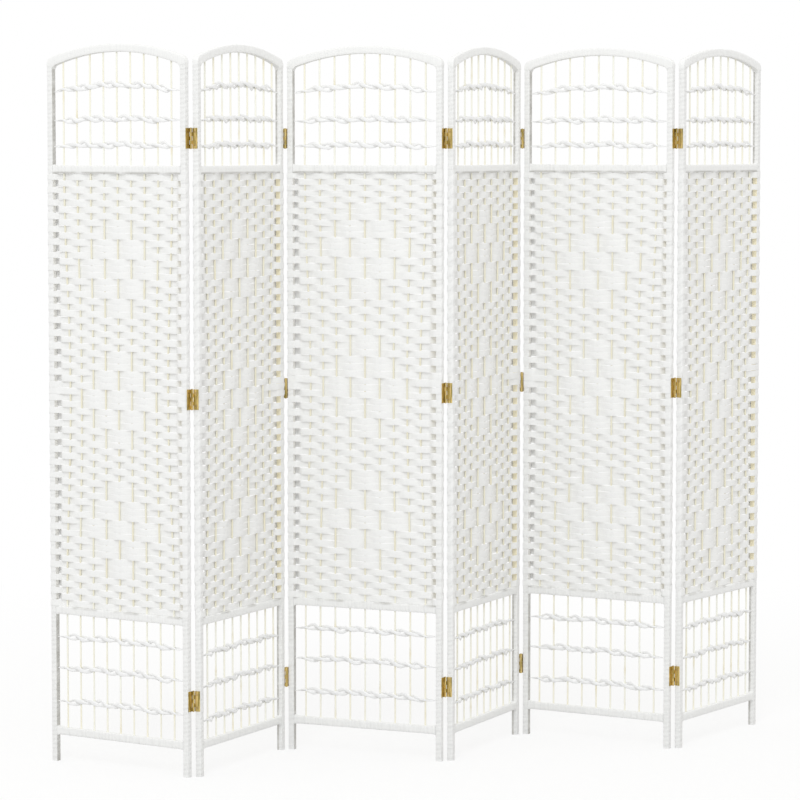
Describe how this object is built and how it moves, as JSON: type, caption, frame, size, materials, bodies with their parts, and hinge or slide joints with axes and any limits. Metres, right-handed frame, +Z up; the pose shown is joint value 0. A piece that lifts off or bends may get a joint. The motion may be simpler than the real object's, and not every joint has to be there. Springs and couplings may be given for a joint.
{
  "type": "folding screen",
  "caption": "Folding room screen of arched panels: bound posts and rails, bamboo sticks and white paper strip in a diamond weave, hinged side by side so that it stands in a zigzag.",
  "frame": {"origin": "centre of the bounding box's underside, on the floor the screen stands on", "axes": "+X along the zigzag from the first panel to the last, +Y to the back of the screen, +Z up"},
  "size_m": [1.9102, 0.3745, 1.8],
  "materials": {
    "bound_frame": "wooden bar bound with white paper strip",
    "bamboo_stick": "natural bamboo, matt",
    "paper_strip": "white crimped paper strip, matt",
    "paper_cord": "white twisted paper cord, matt",
    "hinge_brass": "brass plated, satin",
    "screw_brass": "brass plated, satin"
  },
  "bodies": {
    "panel_1": {"panel_1_left_post": "bound_frame", "panel_1_right_post": "bound_frame", "panel_1_top_arch": "bound_frame", "panel_1_rails": "bound_frame", "panel_1_sticks": "bamboo_stick", "panel_1_weave": "paper_strip", "panel_1_twist_cords": "paper_cord", "panel_1_hinge_leaves": "hinge_brass", "panel_1_hinge_screws": "screw_brass"},
    "panel_2": {"panel_2_left_post": "bound_frame", "panel_2_right_post": "bound_frame", "panel_2_top_arch": "bound_frame", "panel_2_rails": "bound_frame", "panel_2_sticks": "bamboo_stick", "panel_2_weave": "paper_strip", "panel_2_twist_cords": "paper_cord", "panel_2_hinge_leaves": "hinge_brass", "panel_2_hinge_screws": "screw_brass", "hinge_1_2_pins": "hinge_brass"},
    "panel_3": {"panel_3_left_post": "bound_frame", "panel_3_right_post": "bound_frame", "panel_3_top_arch": "bound_frame", "panel_3_rails": "bound_frame", "panel_3_sticks": "bamboo_stick", "panel_3_weave": "paper_strip", "panel_3_twist_cords": "paper_cord", "panel_3_hinge_leaves": "hinge_brass", "panel_3_hinge_screws": "screw_brass", "hinge_2_3_pins": "hinge_brass", "hinge_3_4_pins": "hinge_brass"},
    "panel_4": {"panel_4_left_post": "bound_frame", "panel_4_right_post": "bound_frame", "panel_4_top_arch": "bound_frame", "panel_4_rails": "bound_frame", "panel_4_sticks": "bamboo_stick", "panel_4_weave": "paper_strip", "panel_4_twist_cords": "paper_cord", "panel_4_hinge_leaves": "hinge_brass", "panel_4_hinge_screws": "screw_brass", "hinge_4_5_pins": "hinge_brass"},
    "panel_5": {"panel_5_left_post": "bound_frame", "panel_5_right_post": "bound_frame", "panel_5_top_arch": "bound_frame", "panel_5_rails": "bound_frame", "panel_5_sticks": "bamboo_stick", "panel_5_weave": "paper_strip", "panel_5_twist_cords": "paper_cord", "panel_5_hinge_leaves": "hinge_brass", "panel_5_hinge_screws": "screw_brass", "hinge_5_6_pins": "hinge_brass"},
    "panel_6": {"panel_6_left_post": "bound_frame", "panel_6_right_post": "bound_frame", "panel_6_top_arch": "bound_frame", "panel_6_rails": "bound_frame", "panel_6_sticks": "bamboo_stick", "panel_6_weave": "paper_strip", "panel_6_twist_cords": "paper_cord", "panel_6_hinge_leaves": "hinge_brass", "panel_6_hinge_screws": "screw_brass"}
  },
  "joints": [
    {"name": "fold_1_2", "type": "hinge", "parent": "panel_2", "child": "panel_1", "pos_m": [-0.6596, -0.17631, 0], "axis": [0, 0, 1], "range_deg": [-83.4, 96.6]},
    {"name": "fold_2_3", "type": "hinge", "parent": "panel_3", "child": "panel_2", "pos_m": [-0.34722, 0.12865, 0], "axis": [0, 0, -1], "range_deg": [-92.3, 87.7]},
    {"name": "fold_3_4", "type": "hinge", "parent": "panel_3", "child": "panel_4", "pos_m": [-0.00139, -0.13778, 0], "axis": [0, 0, -1], "range_deg": [-90.6, 89.4]},
    {"name": "fold_4_5", "type": "hinge", "parent": "panel_4", "child": "panel_5", "pos_m": [0.3018, 0.17631, 0], "axis": [0, 0, 1], "range_deg": [-84, 96]},
    {"name": "fold_5_6", "type": "hinge", "parent": "panel_5", "child": "panel_6", "pos_m": [0.61471, -0.12811, 0], "axis": [0, 0, -1], "range_deg": [-91.9, 88.1]}
  ]
}
